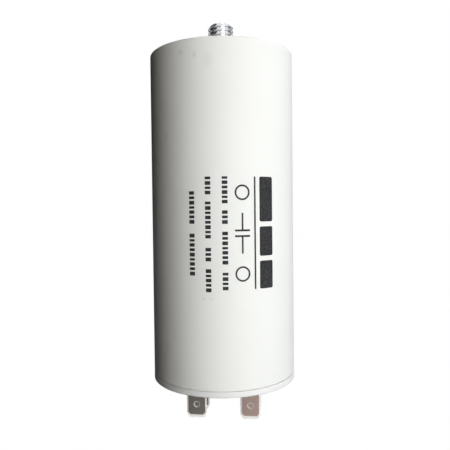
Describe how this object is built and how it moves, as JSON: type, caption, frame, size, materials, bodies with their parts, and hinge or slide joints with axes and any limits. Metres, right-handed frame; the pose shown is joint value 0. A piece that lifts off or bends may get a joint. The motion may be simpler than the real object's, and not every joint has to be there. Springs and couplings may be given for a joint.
{
  "type": "motor capacitor",
  "caption": "Cylindrical motor capacitor: white moulded can with a threaded mounting stud at its closed end and riveted blade terminals on its lid, round a potted film winding.",
  "frame": {"origin": "centre of the seat, the flat face of the can's closed end, on the stud's axis", "axes": "+Z along the stud, away from the can; X through the two poles of the terminals; the blades' broad faces look along Y"},
  "size_m": [0.045, 0.045, 0.1255],
  "materials": {
    "can_plastic": "moulded white plastic, semi-matt",
    "lid_plastic": "moulded off-white plastic, semi-matt",
    "plated_steel": "bright zinc plate on a rolled thread",
    "terminal_metal": "dull tinned brass strip",
    "rivet_metal": "plated, set by a press",
    "tag_metal": "tinned brass strip",
    "lead_copper": "bare copper strands",
    "lead_sleeve_red": "extruded insulation",
    "lead_sleeve_blue": "extruded insulation",
    "solder": "soft solder, set bright",
    "metallised_film": "wound metallised film",
    "core_plastic": "extruded tube",
    "sprayed_zinc": "rough sprayed metal",
    "potting_resin": "cast resin",
    "printing_ink": "thin black print on the can"
  },
  "bodies": {
    "root": {"can": "can_plastic", "mounting_stud": "plated_steel", "lid": "lid_plastic", "double_tab_a": "terminal_metal", "double_tab_b": "terminal_metal", "rivet_a": "rivet_metal", "rivet_b": "rivet_metal", "solder_tag_a": "tag_metal", "solder_tag_b": "tag_metal", "lead_a": "lead_copper", "lead_b": "lead_copper", "sleeve_a": "lead_sleeve_red", "sleeve_b": "lead_sleeve_blue", "tag_solder_a": "solder", "tag_solder_b": "solder", "end_solder_a": "solder", "end_solder_b": "solder", "winding": "metallised_film", "winding_core": "core_plastic", "spray_stud_end": "sprayed_zinc", "spray_lid_end": "sprayed_zinc", "potting": "potting_resin"}
  },
  "joints": []
}
